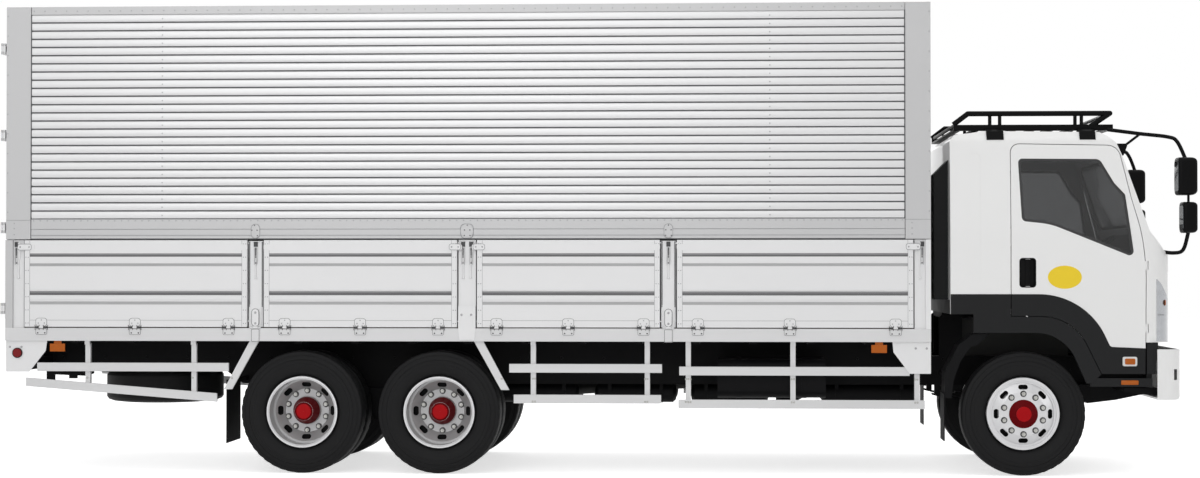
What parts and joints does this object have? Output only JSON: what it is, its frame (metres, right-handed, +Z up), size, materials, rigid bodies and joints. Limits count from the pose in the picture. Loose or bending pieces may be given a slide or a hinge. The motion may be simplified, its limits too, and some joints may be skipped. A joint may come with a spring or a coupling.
{
  "type": "three-axle cab-over truck with a wing-opening body",
  "caption": "Cab-over truck on three axles with a ribbed aluminium body whose sides and roof lift as wings above drop gates.",
  "frame": {"origin": "on the ground in the middle of the truck's outline", "axes": "+X forward along the truck, +Y to the vehicle's left, +Z up"},
  "size_m": [10.0217, 2.6, 3.946],
  "materials": {
    "frame_paint": "satin black chassis paint",
    "body_aluminium": "brushed anodised sheet",
    "gate_aluminium": "anodised pressed panel",
    "rail_silver": "silver painted steel",
    "cab_white": "gloss white paint",
    "cladding_grey": "textured charcoal plastic",
    "black_paint": "satin black",
    "interior_grey": "matt trim",
    "tinted_glass": "tinted",
    "lamp_clear": "clear over silver",
    "lamp_amber": "moulded amber",
    "lamp_red": "moulded red",
    "tyre_black": "moulded rubber",
    "flap_rubber": "black rubber sheet",
    "wheel_silver": "silver painted steel",
    "engine_grey": "cast and painted"
  },
  "bodies": {
    "chassis": {"frame_rails": "frame_paint", "front_axle": "frame_paint", "rear_bogie": "frame_paint", "engine": "engine_grey", "side_tanks": "frame_paint", "bed_bearers": "frame_paint", "bed": "rail_silver", "body_frame": "body_aluminium", "fixed_posts": "gate_aluminium", "side_guards": "rail_silver", "mudguards": "flap_rubber", "spare_tyre": "tyre_black", "spare_rim": "wheel_silver", "underrun": "frame_paint", "amber_lamps": "lamp_amber", "red_lamps": "lamp_red", "bumper": "cab_white"},
    "cab": {"cab_shell": "cab_white", "cab_glass": "tinted_glass", "headlamps": "lamp_clear", "cab_cladding": "cladding_grey", "roof_rack": "black_paint", "mirrors": "black_paint", "cab_interior": "interior_grey"},
    "door_left": {"cab_door_left": "cab_white", "door_glass_left": "tinted_glass", "door_cladding_left": "cladding_grey"},
    "steering_knuckle_left": {"knuckle_left": "frame_paint"},
    "front_wheel_left": {"wheel_front_left": "wheel_silver", "tyre_front_left": "tyre_black"},
    "drive_wheels_left": {"wheel_drive_left": "wheel_silver", "tyres_drive_left": "tyre_black"},
    "rear_wheels_left": {"wheel_rear_left": "wheel_silver", "tyres_rear_left": "tyre_black"},
    "wing_body_left": {"wing_left": "body_aluminium"},
    "drop_gate_1_left": {"gate_1_left": "gate_aluminium"},
    "drop_gate_2_left": {"gate_2_left": "gate_aluminium"},
    "drop_gate_3_left": {"gate_3_left": "gate_aluminium"},
    "drop_gate_4_left": {"gate_4_left": "gate_aluminium"},
    "post_1_left": {"fold_post_1_left": "gate_aluminium"},
    "post_2_left": {"fold_post_2_left": "gate_aluminium"},
    "rear_leaf_left": {"rear_door_left": "gate_aluminium"},
    "door_right": {"cab_door_right": "cab_white", "door_glass_right": "tinted_glass", "door_cladding_right": "cladding_grey"},
    "steering_knuckle_right": {"knuckle_right": "frame_paint"},
    "front_wheel_right": {"wheel_front_right": "wheel_silver", "tyre_front_right": "tyre_black"},
    "drive_wheels_right": {"wheel_drive_right": "wheel_silver", "tyres_drive_right": "tyre_black"},
    "rear_wheels_right": {"wheel_rear_right": "wheel_silver", "tyres_rear_right": "tyre_black"},
    "wing_body_right": {"wing_right": "body_aluminium"},
    "drop_gate_1_right": {"gate_1_right": "gate_aluminium"},
    "drop_gate_2_right": {"gate_2_right": "gate_aluminium"},
    "drop_gate_3_right": {"gate_3_right": "gate_aluminium"},
    "drop_gate_4_right": {"gate_4_right": "gate_aluminium"},
    "post_1_right": {"fold_post_1_right": "gate_aluminium"},
    "post_2_right": {"fold_post_2_right": "gate_aluminium"},
    "rear_leaf_right": {"rear_door_right": "gate_aluminium"}
  },
  "joints": [
    {"name": "cab_tilt", "type": "hinge", "parent": "chassis", "child": "cab", "pos_m": [4.718, 0, 1.056], "axis": [0, 1, 0], "range_deg": [0, 45]},
    {"name": "door_left_swing", "type": "hinge", "parent": "cab", "child": "door_left", "pos_m": [4.6, 1.215, 1.49], "axis": [0, 0, 1], "range_deg": [-70, 0]},
    {"name": "steer_left", "type": "hinge", "parent": "chassis", "child": "steering_knuckle_left", "pos_m": [3.593, 0.9, 0.515], "axis": [0, 0, 1], "range_deg": [-35, 35]},
    {"name": "front_wheel_left_roll", "type": "hinge", "parent": "steering_knuckle_left", "child": "front_wheel_left", "pos_m": [3.593, 1.027, 0.515], "axis": [0, 1, 0], "continuous": true},
    {"name": "drive_wheels_left_roll", "type": "hinge", "parent": "chassis", "child": "drive_wheels_left", "pos_m": [-1.281, 0.9225, 0.515], "axis": [0, 1, 0], "continuous": true},
    {"name": "rear_wheels_left_roll", "type": "hinge", "parent": "chassis", "child": "rear_wheels_left", "pos_m": [-2.441, 0.9225, 0.515], "axis": [0, 1, 0], "continuous": true},
    {"name": "wing_left_lift", "type": "hinge", "parent": "chassis", "child": "wing_body_left", "pos_m": [-1.07, 0.058, 3.938], "axis": [1, 0, 0], "range_deg": [0, 85]},
    {"name": "gate_1_left_drop", "type": "hinge", "parent": "chassis", "child": "drop_gate_1_left", "pos_m": [-3.849, 1.259, 1.2265], "axis": [-1, 0, 0], "range_deg": [0, 175]},
    {"name": "gate_2_left_drop", "type": "hinge", "parent": "chassis", "child": "drop_gate_2_left", "pos_m": [-1.9385, 1.259, 1.2265], "axis": [-1, 0, 0], "range_deg": [0, 175]},
    {"name": "gate_3_left_drop", "type": "hinge", "parent": "chassis", "child": "drop_gate_3_left", "pos_m": [-0.188, 1.259, 1.2265], "axis": [-1, 0, 0], "range_deg": [0, 175]},
    {"name": "gate_4_left_drop", "type": "hinge", "parent": "chassis", "child": "drop_gate_4_left", "pos_m": [1.699, 1.259, 1.2265], "axis": [-1, 0, 0], "range_deg": [0, 175]},
    {"name": "post_1_left_fold", "type": "hinge", "parent": "chassis", "child": "post_1_left", "pos_m": [-2.8265, 1.259, 1.2265], "axis": [-1, 0, 0], "range_deg": [0, 175]},
    {"name": "post_2_left_fold", "type": "hinge", "parent": "chassis", "child": "post_2_left", "pos_m": [0.6485, 1.259, 1.2265], "axis": [-1, 0, 0], "range_deg": [0, 175]},
    {"name": "rear_door_left_swing", "type": "hinge", "parent": "chassis", "child": "rear_leaf_left", "pos_m": [-4.999, 1.245, 2.5], "axis": [0, 0, 1], "range_deg": [-270, 0]},
    {"name": "door_right_swing", "type": "hinge", "parent": "cab", "child": "door_right", "pos_m": [4.6, -1.215, 1.49], "axis": [0, 0, -1], "range_deg": [-70, 0]},
    {"name": "steer_right", "type": "hinge", "parent": "chassis", "child": "steering_knuckle_right", "pos_m": [3.593, -0.9, 0.515], "axis": [0, 0, 1], "range_deg": [-35, 35]},
    {"name": "front_wheel_right_roll", "type": "hinge", "parent": "steering_knuckle_right", "child": "front_wheel_right", "pos_m": [3.593, -1.027, 0.515], "axis": [0, 1, 0], "continuous": true},
    {"name": "drive_wheels_right_roll", "type": "hinge", "parent": "chassis", "child": "drive_wheels_right", "pos_m": [-1.281, -0.9225, 0.515], "axis": [0, 1, 0], "continuous": true},
    {"name": "rear_wheels_right_roll", "type": "hinge", "parent": "chassis", "child": "rear_wheels_right", "pos_m": [-2.441, -0.9225, 0.515], "axis": [0, 1, 0], "continuous": true},
    {"name": "wing_right_lift", "type": "hinge", "parent": "chassis", "child": "wing_body_right", "pos_m": [-1.07, -0.058, 3.938], "axis": [-1, 0, 0], "range_deg": [0, 85]},
    {"name": "gate_1_right_drop", "type": "hinge", "parent": "chassis", "child": "drop_gate_1_right", "pos_m": [-3.849, -1.259, 1.2265], "axis": [1, 0, 0], "range_deg": [0, 175]},
    {"name": "gate_2_right_drop", "type": "hinge", "parent": "chassis", "child": "drop_gate_2_right", "pos_m": [-1.9385, -1.259, 1.2265], "axis": [1, 0, 0], "range_deg": [0, 175]},
    {"name": "gate_3_right_drop", "type": "hinge", "parent": "chassis", "child": "drop_gate_3_right", "pos_m": [-0.188, -1.259, 1.2265], "axis": [1, 0, 0], "range_deg": [0, 175]},
    {"name": "gate_4_right_drop", "type": "hinge", "parent": "chassis", "child": "drop_gate_4_right", "pos_m": [1.699, -1.259, 1.2265], "axis": [1, 0, 0], "range_deg": [0, 175]},
    {"name": "post_1_right_fold", "type": "hinge", "parent": "chassis", "child": "post_1_right", "pos_m": [-2.8265, -1.259, 1.2265], "axis": [1, 0, 0], "range_deg": [0, 175]},
    {"name": "post_2_right_fold", "type": "hinge", "parent": "chassis", "child": "post_2_right", "pos_m": [0.6485, -1.259, 1.2265], "axis": [1, 0, 0], "range_deg": [0, 175]},
    {"name": "rear_door_right_swing", "type": "hinge", "parent": "chassis", "child": "rear_leaf_right", "pos_m": [-4.999, -1.245, 2.5], "axis": [0, 0, -1], "range_deg": [-270, 0]}
  ],
  "couplings": [
    {"joint": "steer_left", "follows": "steer_right", "ratio": 1}
  ]
}
